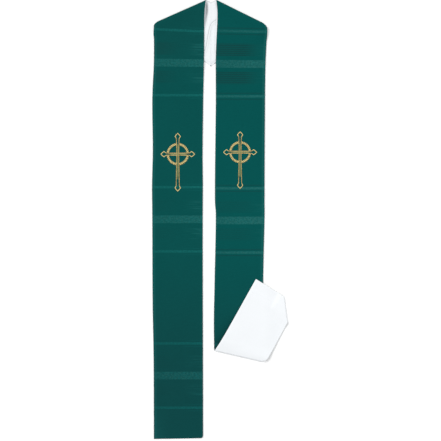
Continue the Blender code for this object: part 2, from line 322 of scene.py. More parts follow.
class Half:
    """One half of the stole: its flat strip, its folds, and how it lies."""

    def __init__(self, side, sections):
        self.side = side
        self.ends = {section[0]: np.reshape(section[1:5], (2, 2)) * MM for section in sections}
        self.shoulder = seen_fold(*self.ends["shoulder"], SOFT_FOLD, -1, ARC_STEPS)
        self.folds = [self.shoulder]
        self.turned_end = None
        if side == "left":
            self.back_edge = line_fold(self.ends["centre back"][0], self.ends["shoulder"][0])
        else:
            self.back_edge = line_fold(self.ends["shoulder"][1], self.ends["centre back"][1])
            self.turn_lower_end()
        self.rows_at = self.measured_rows(sections)

    def turn_lower_end(self):
        """Adds the turned end's fold, and the one that tucks its corner under."""
        left, right = self.ends["turned end"]
        self.turned_end = seen_fold(right, left, SOFT_FOLD, 1, ARC_STEPS)
        low, high = (laid_straight(end, self.turned_end) for end in (TUCK_LOW, TUCK_HIGH))
        tuck = seen_fold(low, high, FLAT_FOLD, 1, FLAT_ARC_STEPS)
        self.folds = [tuck, self.turned_end, self.shoulder]
        tip = np.append(laid_straight(self.ends["hem"][1], self.turned_end), 0)[None]
        tucked_tip = turned(turned(tip, tuck), self.turned_end)[0, :2]
        self.tucked_corner = (TUCK_HIGH, TUCK_LOW, tucked_tip, TUCK_HIGH)

    def flat_ends(self, section):
        """The two ends of a section on the flat strip."""
        ends = self.ends[section.place]
        fold = self.shoulder if section.place in ("shoulder", "centre back") else self.turned_end
        if section.layer == "front":
            return ends
        if section.layer == "fold":
            return ends - distance_past(ends, fold)[:, None] * np.array((0, 1 / fold.past[1]))
        return laid_straight(ends, fold)

    def measured_rows(self, sections):
        """Finely spaced rows across the strip: distance from the hem, left end and right end."""
        ends = np.array([self.flat_ends(Section(*section)) for section in sections])
        places = np.linspace(0, len(ends) - 1, ROW_PLACES)
        lefts, rights = (spline(side, places) for side in ends.swapaxes(0, 1))
        steps = np.linalg.norm(np.diff((lefts + rights) / 2, axis=0), axis=1)
        return np.append(0, np.cumsum(steps)), lefts, rights

    def row_ends(self, distance):
        """The left and right ends of the rows at these distances from the hem."""
        along, *sides = self.rows_at
        return [np.column_stack([np.interp(distance, along, axis) for axis in side.T]) for side in sides]

    def flat_size(self, inset):
        """The width and length of the flat cut's box, and the cut's area."""
        _, lefts, rights = self.rows_at
        outline = np.concatenate((lefts, rights[::-1]))
        x, y = outline.T
        area = abs(np.sum(x * np.roll(y, -1) - y * np.roll(x, -1))) / 2
        width, length = np.ptp(outline, axis=0) - 2 * inset
        round_it = np.linalg.norm(np.diff(outline, axis=0), axis=1).sum()
        return (width, length), area - round_it * inset

    def lies_over(self, plan):
        """1 where the turned end lies on its panel or tucked corner, to 0 where it is down beside them."""
        past_panel = (plan[:, 0] - self.ends["turned end"][1, 0]) / DROP
        corner_edges = zip(self.tucked_corner, self.tucked_corner[1:])
        past_edges = [distance_past(plan, line_fold(*edge)) / (DROP / 2) for edge in corner_edges]
        return 1 - eased(np.minimum(past_panel, np.max(past_edges, axis=0)))

    def lift(self, flat, plan):
        """How far points are raised or lowered to lie on what is under them."""
        spare = 2 * SOFT_FOLD - LEVEL
        from_shoulder = -distance_past(flat, self.shoulder)
        over_back = 1 - eased(distance_past(plan, self.back_edge) / DROP)
        lift = LEVEL * over_back + spare * (1 - eased(from_shoulder / SETTLE))
        if self.turned_end:
            past = self.past_turn(flat)
            down = spare * eased(past / SETTLE) + LEVEL * (1 - self.lies_over(plan))
            lift -= np.where(past > 0, down, 0)
        return np.where(from_shoulder <= 0, 2 * SOFT_FOLD, lift)

    def laid(self, flat, height):
        """Where points of the flat strip, at these heights above its middle, lie on the laid stole."""
        points = np.column_stack((flat, height))
        for fold in self.folds:
            points = turned(points, fold)
        plan = points[:, :2].copy()
        points[:, 2] += CLOTH / 2 + self.lift(flat, plan) + waves(plan) + self.loft(flat, plan)
        points[:, 2] *= 1 - PRESSED_SHARE * self.pressed_thin(flat, plan)
        points[:, :2] = rounded(plan)
        return points

    def loft(self, flat, plan):
        """How far the upper layers stand up where the folds leave room."""
        if self.side == "left":
            near_neck = eased((plan[:, 0] + 54 * MM) / (36 * MM))
            return NECK_LOFT * near_neck * rise_and_fall(-distance_past(flat, self.shoulder), *NECK_OPEN)
        inner_side = 1 - eased((plan[:, 0] - 20 * MM) / (150 * MM))
        return TURN_LOFT * rise_and_fall(self.past_turn(flat), *TURN_OPEN) * (0.1 + 0.9 * inner_side)

    def pressed_thin(self, flat, plan):
        """1 on the back's lower edge in the neck's gap, where the cloth is pressed thin, to 0 inside it."""
        inside = -distance_past(plan, self.back_edge)
        in_gap = eased((22 * MM - abs(plan[:, 0])) / (8 * MM))
        return (1 - eased(inside / PRESSED_EDGE)) * in_gap * self.on_back(flat)

    def on_back(self, flat):
        return distance_past(flat, self.shoulder) > math.pi * SOFT_FOLD

    def past_turn(self, flat):
        """How far points of the turned end are past the fold, and 0 elsewhere."""
        if not self.turned_end:
            return np.zeros(len(flat))
        return np.maximum(distance_past(flat, self.turned_end) - math.pi * SOFT_FOLD, 0)


def grid_lines(length, cloth, at_centre):
    """Lines from an edge to the far one, or to the centre back: how far each is along, how the surface tilts
    away from the cloth's middle there, and how much of it faces up or down."""
    near = np.concatenate((cloth.inset + cloth.radius * (1 - np.cos(cloth.angles)), NEAR_EDGE))
    far = np.append(0, NEAR_CENTRE) if at_centre else near
    count = round((length - near[-1] - far[-1]) / SPACING)
    middle = np.linspace(near[-1], length - far[-1], count + 1)[1:-1]
    distances = np.concatenate((near, middle, length - far[::-1]))
    angles = np.full(len(distances), math.pi / 2)
    angles[: len(cloth.angles)] = cloth.angles
    tilt = -np.cos(angles)
    if not at_centre:
        angles[-len(cloth.angles) :] = cloth.angles[::-1]
        tilt[-len(cloth.angles) :] = np.cos(cloth.angles[::-1])
    return distances, tilt, np.sin(angles)


def column_places(widths, distances, near):
    """How far each row's points are from the left edge. The near columns at either edge keep their distance
    from it, and the rest share what is between."""
    margin = distances[near - 1]
    share = (distances - margin) / (distances[-near] - margin)
    places = margin + share * (widths[:, None] - 2 * margin)
    places[:, :near] = distances[:near]
    places[:, -near:] = widths[:, None] - (widths.mean() - distances[-near:])
    return places


def flat_mesh(half, cloth):
    """The flat strip as a grid with its crease lines. Attributes say how far each point is from the strip's
    left edge, right edge and hem, how the surface tilts there, and which way is across."""
    along, row_tilt, row_upward = grid_lines(half.rows_at[0][-1], cloth, True)
    lefts, rights = half.row_ends(along)
    widths = np.linalg.norm(rights - lefts, axis=1)
    distances, tilt, upward = grid_lines(widths.mean(), cloth, False)
    direction = (rights - lefts) / widths[:, None]
    from_left = column_places(widths, distances, len(cloth.angles) + len(NEAR_EDGE))
    plan = lefts[:, None] + direction[:, None] * from_left[..., None]
    shape = from_left.shape
    corner = np.arange(from_left.size).reshape(shape)
    faces = np.stack((corner[:-1, :-1], corner[:-1, 1:], corner[1:, 1:], corner[1:, :-1]), axis=-1)
    mesh = bpy.data.meshes.new("flat strip")
    mesh.from_pydata(grid_values(shape, plan[..., 0], plan[..., 1], 0), [], faces.reshape(-1, 4))
    values = {
        "strip": (from_left, widths[:, None] - from_left, along[:, None]),
        "tilt": (tilt, row_tilt[:, None], np.minimum(upward, row_upward[:, None])),
        "across": (direction[:, :1], direction[:, 1:], 0),
    }
    for name, parts in values.items():
        write_attribute(mesh, name, grid_values(shape, *parts))
    crease(mesh, half)
    return mesh


def grid_values(shape, *parts):
    """Three values for each point of a grid, from parts that may be the same along its rows or columns."""
    return np.stack([np.broadcast_to(part, shape) for part in parts], axis=-1).reshape(-1, 3)


def write_attribute(mesh, name, values):
    attribute = mesh.attributes.new(name, "FLOAT_VECTOR", "POINT")
    attribute.data.foreach_set("vector", np.ascontiguousarray(values, np.float32).ravel())


def read_vectors(data, key):
    values = np.empty(len(data) * 3, np.float32)
    data.foreach_get(key, values)
    return values.reshape(-1, 3).astype(float)


def crease(mesh, half):
    """Cuts the flat strip along the lines where its folds bend."""
    grid = bmesh.new()
    grid.from_mesh(mesh)
    for fold in half.folds:
        for step in range(fold.steps + 1):
            place = fold.start + fold.past * (math.pi * fold.radius * step / fold.steps)
            bmesh.ops.bisect_plane(
                grid,
                geom=grid.verts[:] + grid.edges[:] + grid.faces[:],
                dist=0.01 * MM,
                plane_co=(*place, 0),
                plane_no=(*fold.past, 0),
            )
    many_sided = [face for face in grid.faces if len(face.verts) > 4]
    bmesh.ops.triangulate(grid, faces=many_sided)
    grid.to_mesh(mesh)
    grid.free()


def shut(outer_faces, count):
    """Faces of a closed sheet: the outer ones, the same turned over at the inner points, and the rim."""
    edges = dict.fromkeys(edge for face in outer_faces for edge in zip(face, face[1:] + face[:1]))
    rim = [(end, start, start + count, end + count) for start, end in edges if (end, start) not in edges]
    inner = [tuple(corner + count for corner in reversed(face)) for face in outer_faces]
    return outer_faces + inner + rim


def line_distance(plan, corners):
    """How far points are from the line through the corners."""
    found = []
    for start, end in zip(corners, corners[1:]):
        along = end - start
        share = np.clip((plan - start) @ along / (along @ along), 0, 1)
        found.append(np.linalg.norm(plan - start - share[:, None] * along, axis=1))
    return np.min(found, axis=0)


def neck_places(plan):
    """In the neck's gap: distances past the lap's curved line and from the line pressed beside the right
    panel, and how deep the lining is in the hollow beside the left panel, 0 to 1."""
    x, y = plan.T
    lap_x, lap_y = np.array(NECK_CREASE) * MM
    side = np.where(x < np.interp(y, lap_y, lap_x), -1, 1)
    lap = side * line_distance(plan, np.column_stack((lap_x, lap_y)))
    aside = x - PRESSED_PLACE[0] - (y - PRESSED_PLACE[1]) * PRESSED_LEAN
    beyond = np.maximum(y - PRESSED_TOP, 1.6 * (PRESSED_FOOT - y))
    hollow_y, middle_x, depth = np.array(NECK_HOLLOW)
    middle = np.interp(y, hollow_y * MM, middle_x * MM)
    hollow = bump(x - middle, HOLLOW_WIDTH) * np.interp(y, hollow_y * MM, depth)
    return np.column_stack((lap, np.hypot(aside, np.maximum(beyond, 0)), hollow))


def neck_relief(plan):
    """Heights of the lining in the neck's gap: the lap's groove and lip, the pressed line, the hollow."""
    lap, pressed, hollow = neck_places(plan).T
    lip = 0.9 * bump(lap - 3.2 * MM, 2.6 * MM) - bump(lap, 1.5 * MM)
    in_gap = eased((19 * MM - abs(plan[:, 0])) / (4 * MM))
    return (lip * in_gap - 0.6 * bump(pressed, 1.2 * MM) - 1.3 * hollow) * MM


def shade_beside_turned_end(half, flat, plan):
    """Painted shade on the right panel beside the turned end's fold, 0 to 1: its shadow, strongest near the
    fold.
    """
    if not half.turned_end:
        return np.zeros(len(plan))
    edge = line_fold(half.ends["turned end"][0], half.ends["hem"][0])
    past = distance_past(plan, edge) / (30 * MM)
    along = (plan - edge.start) @ edge.along / (190 * MM)
    return (1 - eased(past)) * (1 - eased(along)) * (half.past_turn(flat) == 0)


def face_heights(half, cloth, flat, strip):
    """A cloth's face above the middle of the whole cloth. It stands out over the seam allowance, and the
    lining's also over the hem of the turned end."""
    rise = ALLOWANCE_RISE * (1 - eased((strip.min(axis=1) - ALLOWANCE) / ALLOWANCE_STEP))
    if cloth is LINING:
        ridges = sum(height * bump(strip[:, 2] - place, width) for place, width, height in HEM_RIDGES)
        rise += ridges * eased(half.past_turn(flat) / SETTLE)
    return cloth.face + cloth.facing * rise


def edge_roll(half, cloth, flat):
    """How far a cloth's edge is moved out. The lining rolls past the shell where it is up, but in the neck's
    lower edge the shell shows in a few places."""
    plan = half.laid(flat, np.zeros(len(flat)))[:, :2]
    low_edge = half.on_back(flat) & (distance_past(plan, half.back_edge) > -LOW_EDGE)
    shown = sum(share * bump(plan[:, 0] - x * MM, width * MM) for x, width, share in SHOWN_PLACES)
    shown = np.where(low_edge, shown, 0)
    roll = LINING_ROLL * (half.on_back(flat) | (half.past_turn(flat) > 0))
    return roll - LINING_BACK * shown if cloth is LINING else SHELL_SHOWN * shown - roll


def sheet_points(half, cloth, flat, strip, tilt, across):
    """The laid points of a cloth's outer side, then its inner side's."""
    sideways = across * tilt[:, :1] + quarter_turned(across) * tilt[:, 1:2]
    upward = tilt[:, 2] * cloth.facing
    size = np.sqrt((sideways**2).sum(axis=1) + upward**2)
    face = face_heights(half, cloth, flat, strip) - cloth.facing * cloth.radius * (1 - tilt[:, 2])
    rolled = flat + sideways * edge_roll(half, cloth, flat)[:, None]
    outer = half.laid(rolled, face)
    inner = half.laid(rolled - sideways / size[:, None] * cloth.sheet, face - upward / size * cloth.sheet)
    if cloth is LINING:
        on_back = half.on_back(rolled)
        for points in (outer, inner):
            points[:, 2] += np.where(on_back, neck_relief(points[:, :2]), 0)
    return np.concatenate((outer, inner))


def flat_values(flat_one):
    """The plan of a flat mesh's points, and its attributes."""
    attributes = [flat_one.attributes[name] for name in ("strip", "tilt", "across")]
    strip, tilt, across = (read_vectors(attribute.data, "vector") for attribute in attributes)
    return read_vectors(flat_one.vertices, "co")[:, :2], strip, tilt, across[:, :2]


def cloth_mesh(name, half, cloth):
    """One closed thin cloth of a half."""
    flat_one = flat_mesh(half, cloth)
    flat, strip, tilt, across = flat_values(flat_one)
    points = sheet_points(half, cloth, flat, strip, tilt, across)
    plan = points[:, :2].copy()
    points[:, :2] += OFFSET
    faces = [tuple(polygon.vertices)[:: cloth.facing] for polygon in flat_one.polygons]
    mesh = bpy.data.meshes.new(name)
    mesh.from_pydata(points, [], shut(faces, len(flat)))
    mesh.shade_smooth()
    add_pattern_places(mesh, half, cloth, np.tile(flat, (2, 1)), np.tile(strip, (2, 1)), plan)
    bpy.data.meshes.remove(flat_one)
    return mesh


def add_pattern_places(mesh, half, cloth, flat, strip, plan):
    """What the materials read: places in the weave, distances from the strip's edges, crease places and
    painted shade.
    """
    left, right, from_hem = strip.T
    inner_side, outer_side = (left, right) if half.side == "right" else (right, left)
    near_neck = eased((flat[:, 1] + 260 * MM) / (190 * MM))
    slope = near_neck * STRIPE_SLOPE[half.side] * (outer_side - 75 * MM)
    place_y = flat[:, 1] - WIDE_STRIPE[half.side] + slope + (0.6 - 1.8 * near_neck) * MM
    inward = inner_side / (inner_side + outer_side)
    write_attribute(mesh, "weave", np.column_stack((flat[:, 0], place_y, inward)))
    write_attribute(mesh, "edges", np.column_stack((outer_side, inner_side, from_hem)))
    # The lining's values also carry painted shade; the shell's only value is painted shade beside the turned
    # end.
    if cloth is LINING:
        creases_and_shade = lining_creases_and_shade(half, flat, plan, inner_side)
    else:
        creases_and_shade = np.outer(shade_beside_turned_end(half, flat, plan), (1, 0, 0))
    write_attribute(mesh, "creases_and_shade", creases_and_shade)


def lining_creases_and_shade(half, flat, plan, inner_side):
    """neck_places, on the back only. The third value also carries painted shade past the turned end's fold,
    and a painted shadow line along the top edge of the neck's gap."""
    creases_and_shade = neck_places(plan)
    on_back = half.on_back(flat)
    creases_and_shade[~on_back] = (1, 1, 0)
    past = half.past_turn(flat)
    # Painted shade along the turned end's fold, fading over 17 mm past it.
    creases_and_shade[:, 2] += 0.07 * (past > 0) * (1 - eased(past / (17 * MM)))
    # A painted shadow line along the top edge of the neck's gap, darker toward the left.
    in_gap = on_back * eased((14 * MM - abs(plan[:, 0])) / (3 * MM))
    creases_and_shade[:, 2] += in_gap * (0.62 - 25 * plan[:, 0]) * bump(inner_side, 2 * MM)
    return creases_and_shade


def bar_outline(reach_up, reach_down, neck_up, neck_down, middle):
    """Right-hand outline of an upright bar with a bud at each end, from its lower tip to its upper one."""
    near_tip = np.linspace(0, 1, 60) ** 1.6 * 3 * MM
    from_tip = np.concatenate((near_tip, np.arange(3.1, HEAD_LENGTH / MM + HEAD_SHOULDER / MM, 0.1) * MM))

    def half_width(neck):
        bud = HEAD_HALF * (1 - (1 - np.minimum(from_tip / HEAD_LENGTH, 1)) ** 1.5) ** 0.95
        shoulder = 1 - (1 - np.clip((from_tip - HEAD_LENGTH) / HEAD_SHOULDER, 0, 1)) ** 1.6
        return bud + (neck - HEAD_HALF) * shoulder

    low = np.column_stack((half_width(neck_down), from_tip - reach_down))
    high = np.column_stack((half_width(neck_up), reach_up - from_tip))[::-1]
    stem_y = np.arange(low[-1, 1] / MM + 0.3, high[0, 1] / MM, 0.3) * MM
    stem_x = np.interp(stem_y, (low[-1, 1], 0, high[0, 1]), (neck_down, middle, neck_up))
    return np.concatenate((low, np.column_stack((stem_x, stem_y)), high))


def cross_bars():
    """The level bar and the post."""
    up, down, side = (reach - TIP_INSET for reach in (CROSS_UP, CROSS_DOWN, CROSS_SIDE))
    level = bar_outline(side, side, BAR_HALF, BAR_HALF, BAR_HALF)
    post = bar_outline(up, down, POST_HEAD_HALF, POST_FOOT_HALF, POST_HALF)
    return (
        Bar(level, CROSS_SIDE, CROSS_SIDE, BAR_LINE, BAR_FILLED, True, 0.1 * MM, 0, 0.52),
        Bar(post, CROSS_UP, CROSS_DOWN, POST_LINE, POST_FILLED, False, 0.14 * MM, OVER_BAR, 0.4),
    )


def even_places(line, pitch):
    """Places along a line, a pitch apart."""
    step = np.linalg.norm(np.diff(line, axis=0), axis=1)
    along = np.append(0, np.cumsum(step))
    at = np.linspace(0, along[-1], round(along[-1] / pitch))
    return np.column_stack([np.interp(at, along, axis) for axis in line.T])


def unit(vectors):
    return vectors / np.linalg.norm(vectors, axis=1)[:, None]


def satin_line(bar):
    """A bar's line of satin stitch: the outer and inner ends of its threads, all the way round."""
    outer = even_places(bar.outline, THREAD_PITCH)
    tangent = unit(np.gradient(outer, axis=0))
    padded = np.pad(tangent, ((3, 3), (0, 0)), mode="edge")
    tangent = unit(np.column_stack([np.convolve(axis, np.ones(7) / 7, "valid") for axis in padded.T]))
    reach = np.where(outer[:, 1] > 0, bar.up, bar.down)
    toward_head = eased((abs(outer[:, 1]) / reach - 0.25) / 0.45)
    width = bar.line + (HEAD_LINE - bar.line) * toward_head
    inner = outer + quarter_turned(tangent) * width[:, None] + tangent * STITCH_SLANT
    inner[:, 0] = np.maximum(inner[:, 0], MIDDLE_GAP)
    mirror = np.array((-1, 1))
    return [np.concatenate((ends, (ends * mirror)[::-1])) for ends in (outer, inner)]


def fill_stitches(bar, random):
    """The ends of the low stitches between a bar's two lines, fewer and fewer toward both ends."""
    low, high = bar.filled
    y = np.arange(low, high, FILL_PITCH)
    from_end = np.minimum(y - low, high - y)
    y = y[random.random(len(y)) < 0.35 + from_end / (12 * MM)]
    half_width = np.interp(y, bar.outline[:, 1], bar.outline[:, 0]) - 0.9 * MM
    return np.column_stack((-half_width, y)), np.column_stack((half_width, y + 0.4 * MM))


def ring_threads():
    """The ring's threads, slanted across its band. They stop under the two bars' lines."""
    count = round(math.tau * (RING_RADIUS - RING_BAND / 2) / THREAD_PITCH)
    turn = np.arange(count) * math.tau / count
    inner = np.column_stack((np.cos(turn), np.sin(turn))) * (RING_RADIUS - RING_BAND)
    outer = np.column_stack((np.cos(turn + RING_SLANT), np.sin(turn + RING_SLANT))) * RING_RADIUS
    share = np.linspace(0, 1, RING_PLACES)
    along = inner[:, None] + (outer - inner)[:, None] * share[:, None]
    beside_post = abs(along[..., 0]) > POST_HALF - POST_LINE / 2
    free = beside_post & (abs(along[..., 1]) > BAR_HALF - BAR_LINE / 2)
    kept = np.flatnonzero(free.sum(axis=1) > 12)
    first = free.argmax(axis=1)[kept]
    last = RING_PLACES - 1 - free[:, ::-1].argmax(axis=1)[kept]
    return along[kept, last], along[kept, first], kept


def tube_faces(threads):
    """Faces of closed tubes whose points come thread by thread and ring by ring."""
    each = RINGS * SIDES
    first = np.arange(threads)[:, None] * each
    ring = first[..., None] + np.arange(RINGS - 1)[:, None] * SIDES
    side = np.arange(SIDES)
    after = (side + 1) % SIDES
    next_ring = ring + SIDES
    quads = np.stack((ring + side, next_ring + side, next_ring + after, ring + after), axis=-1)
    return [*quads.reshape(-1, 4), *(first + side), *(first + each - SIDES + side[::-1])]


def thread_mesh(starts, ends, crown, base, tones):
    """Closed rounded tubes, arched from start to end: points, faces, and values for the material. crown is
    how high each arches, base what it stands on."""
    share = np.linspace(0, 1, RINGS)
    centre = starts[:, None] + (ends - starts)[:, None] * share[:, None]
    height = base[:, None] + crown[:, None] * np.sin(math.pi * share) ** 0.55
    aside = quarter_turned(unit(ends - starts))
    turn = math.tau * (np.arange(SIDES) + 0.5) / SIDES
    taper = THREAD_RADIUS * (0.62 + 0.38 * np.sin(math.pi * share) ** 0.5)
    offset = np.cos(turn) * taper[:, None]
    plan = centre[:, :, None] + aside[:, None, None] * offset[..., None]
    top = height[..., None] + np.sin(turn) * taper[:, None]
    points = np.concatenate((plan, top[..., None]), axis=-1).reshape(-1, 3)
    length = np.linalg.norm(ends - starts, axis=1)[:, None, None]
    along = share[:, None]
    values = grid_values(top.shape, tones[:, None, None], along, along * length)
    return points, tube_faces(len(starts)), values


def padding_mesh(starts, ends, closed, base):
    """The padding under threads: a low band between their ends."""
    shares = np.array((0.06, 0.22, 0.78, 0.94))
    heights = np.array((-0.1, 0.36, 0.36, -0.1)) * MM
    plan = starts[:, None] + (ends - starts)[:, None] * shares[:, None]
    top = base[:, None] + heights
    points = np.concatenate((plan, top[..., None]), axis=-1).reshape(-1, 3)
    count = len(points)
    row = np.arange(0, count if closed else count - 4, 4)[:, None]
    after = (row + 4) % count
    side = np.arange(4)
    turn = (side + 1) % 4
    quads = np.stack((row + side, row + turn, after + turn, after + side), axis=-1).reshape(-1, 4)
    ends = [] if closed else [(3, 2, 1, 0), range(count - 4, count)]
    return points, [*quads, *ends], np.tile((0.35, 0.5, 0), (count, 1))


def ring_parts(random):
    outer, inner, number = ring_threads()
    sunken = np.array(RING_BUNDLE)[number % len(RING_BUNDLE)]
    # Threads that lie low in a bundle get a darker tone: painted shade between the bundles.
    tones = 0.82 - 2 * sunken + random.normal(0, 0.12, len(outer))
    base = np.full(len(outer), 0.08 * MM)
    parts = [thread_mesh(outer, inner, (0.66 - 0.5 * sunken) * MM, base, tones)]
    for arc in np.split(np.arange(len(outer)), np.flatnonzero(np.diff(number) > 1) + 1):
        parts.append(padding_mesh(outer[arc], inner[arc], False, np.zeros(len(arc))))
    return parts


def bar_parts(bar, random):
    """A bar's low stitches, lines and padding. The lines stand higher where they cross other ones."""
    outer, inner = satin_line(bar)
    left, right = fill_stitches(bar, random)
    out = abs(outer[:, 1])
    raised = bar.over * (1 - eased((out - 4.5 * MM) / (3 * MM)))
    from_ring = abs(out - RING_RADIUS + RING_BAND / 2)
    raised += OVER_RING * (1 - eased((from_ring - RING_BAND / 2) / (4 * MM)))
    reach = np.where(outer[:, 1] > 0, bar.up, bar.down)
    toward_head = eased((out - reach + 24 * MM) / (12 * MM))
    if bar.level:
        outer, inner, left, right = (quarter_turned(ends) for ends in (outer, inner, left, right))
    low = np.ones(len(left))
    number = np.arange(len(outer))
    tones = random.normal(0.4, 0.13, len(left))
    fill = thread_mesh(left, right, low * 0.12 * MM, low * (bar.base + bar.over), tones)
    fill[2][:, 1] = -1  # what the material knows the low stitches by
    crown = (np.sin(number * 0.37) * 0.05 + 0.52) * MM
    tones = bar.tone + random.normal(0, 0.13, len(outer)) + 0.08 * np.sin(number * 0.09) + 0.55 * toward_head
    lines = thread_mesh(outer, inner, crown, bar.base + raised, tones)
    return [fill, lines, padding_mesh(outer, inner, True, raised)]


def cross_mesh(name, half, centre, scale, seed):
    random = np.random.default_rng(seed)
    parts = ring_parts(random)
    for bar in cross_bars():
        parts += bar_parts(bar, random)
    faces, count = [], 0
    for points, part_faces, _ in parts:
        faces += [tuple(int(corner) + count for corner in face) for face in part_faces]
        count += len(points)
    points = np.concatenate([part[0] for part in parts])
    laid = half.laid(points[:, :2] * scale + centre, SHELL.face + points[:, 2])
    laid[:, :2] += OFFSET
    mesh = bpy.data.meshes.new(name)
    mesh.from_pydata(laid, [], faces)
    mesh.shade_smooth()
    write_attribute(mesh, "thread", np.concatenate([part[2] for part in parts]))
    return mesh


class Shading:
    """Short calls that add nodes to a material."""

    def __init__(self, name):
        self.material = bpy.data.materials.new(name)
        self.material.use_nodes = True
        self.tree = self.material.node_tree
        self.shader = self.tree.nodes["Principled BSDF"]

    def put(self, value, socket):
        if isinstance(value, bpy.types.NodeSocket):
            self.tree.links.new(value, socket)
        else:
            socket.default_value = value

    def surface(self, **values):
        """Puts values on the shader's sockets: Base_Color for Base Color, and so on."""
        for name, value in values.items():
            self.put(value, self.shader.inputs[name.replace("_", " ")])

    def node(self, kind, inputs=(), **settings):
        made = self.tree.nodes.new("ShaderNode" + kind)
        for name, value in settings.items():
            setattr(made, name, value)
        for key, value in dict(inputs).items():
            self.put(value, made.inputs[key])
        return made

    def math(self, operation, *values):
        return self.node("Math", enumerate(values), operation=operation).outputs[0]

    def times(self, *values):
        return reduce(lambda made, value: self.math("MULTIPLY", made, value), values)

    def plus(self, *values):
        """The sum of values, where a tuple counts as its product."""
        values = [self.times(*value) if isinstance(value, tuple) else value for value in values]
        return reduce(lambda made, value: self.math("ADD", made, value), values)

    def attribute(self, name):
        """The three numbers of a vector attribute."""
        made = self.node("Attribute", attribute_name=name, attribute_type="GEOMETRY")
        return self.node("SeparateXYZ", {0: made.outputs["Vector"]}).outputs

    def ramp(self, value, start, end, low=0, high=1):
        """low before start and high after end, with a soft change."""
        inputs = {0: value, 1: start, 2: end, 3: low, 4: high}
        return self.node("MapRange", inputs, interpolation_type="SMOOTHSTEP").outputs[0]

    def band(self, value, start, end, soft):
        """1 between start and end, 0 outside."""
        rise = self.ramp(value, start - soft / 2, start + soft / 2)
        fall = self.ramp(value, end - soft / 2, end + soft / 2, 1, 0)
        return self.times(rise, fall)

    def noise(self, x, y, scale_x, scale_y, detail, seed):
        place = self.node("CombineXYZ", {0: self.times(x, scale_x), 1: self.times(y, scale_y), 2: seed})
        inputs = {"Vector": place.outputs[0], "Scale": 1, "Detail": detail}
        return self.node("TexNoise", inputs).outputs[0]

    def wave(self, value, period):
        """A sine of the value, from -1 to 1."""
        return self.math("SINE", self.times(value, math.tau / period))

    def mix(self, share, first, second):
        return self.node("Mix", {0: share, 6: first, 7: second}, data_type="RGBA").outputs[2]

    def toned(self, tone, colour):
        return self.node("HueSaturation", {"Value": tone, "Color": colour}).outputs[0]

    def bumped(self, height, distance):
        return self.node("Bump", {"Height": height, "Distance": distance, "Strength": 1}).outputs[0]


def linear(*screen):
    """A colour given as its three screen values, 0 to 255."""
    parts = [value / 255 for value in screen]
    return (*[p / 12.92 if p <= 0.04045 else ((p + 0.055) / 1.055) ** 2.4 for p in parts], 1)


# How the left panel's brocade and the right one's differ. A place is a share of the width, counted from the
# inner edge, or metres above the hem. A ramp has its start, its end and its two values.
BROCADE = {
    "lower_end": (0.7, 0.62),  # where the lower colour ends
    "upper": (linear(8, 74.5, 72.5), linear(6, 77, 75)),
    "upper_light": (linear(25, 95, 93), linear(29, 96, 94)),
    "strong": ((0.4, 0.9, 0, 0.55), (0.95, 0.5, 0, 1)),  # ramp of the fine groups' dark lines
    "glint": ((0.42, 0.12, 0, 0.5), (0.6, 1, 0, 0.2)),  # ramp of their glints
    "dark_sides": (0, 0.58),  # of the thin stripes
    "side_light": (0.17, 0),
    "thin_top": (1, 0.75),  # the upper thin stripe
    "shoulder": (0.21, 0),  # how dark it is
    "corner": (0.22, 0),  # how light the lower corner is
    "swell": (0, 0.02),  # how light the middle of the length is
    # Painted sheen on the stripes, lighter toward the right of each panel: its amount at the inner edge, and
    # its change outward.
    "bright": (1.1224, 0.848),  # the stripes at the inner edge, and the change outward
    "change": (-0.3864, 0.4452),
}


def stripes(s, y):
    """Masks of the stripes: wide, thin, the thin ones' sides, the groups of fine lines, and those lines."""
    away = s.math("ABSOLUTE", s.math("WRAP", y, REPEAT / 2, -REPEAT / 2))
    wide = s.band(away, -1, 11.4 * MM, 1.6 * MM)
    thin = s.band(away, 93.4 * MM, 100.6 * MM, 1.6 * MM)
    above = s.band(away, 86.4 * MM, 89.4 * MM, 1.5 * MM)
    below = s.band(away, 104.6 * MM, 107.6 * MM, 1.5 * MM)
    fine = s.band(away, 24 * MM, 60 * MM, 3 * MM)
    lines = s.ramp(s.wave(away, 5.9 * MM), -0.6, 0.7, 0.3)
    return wide, thin, s.plus(above, below), fine, lines


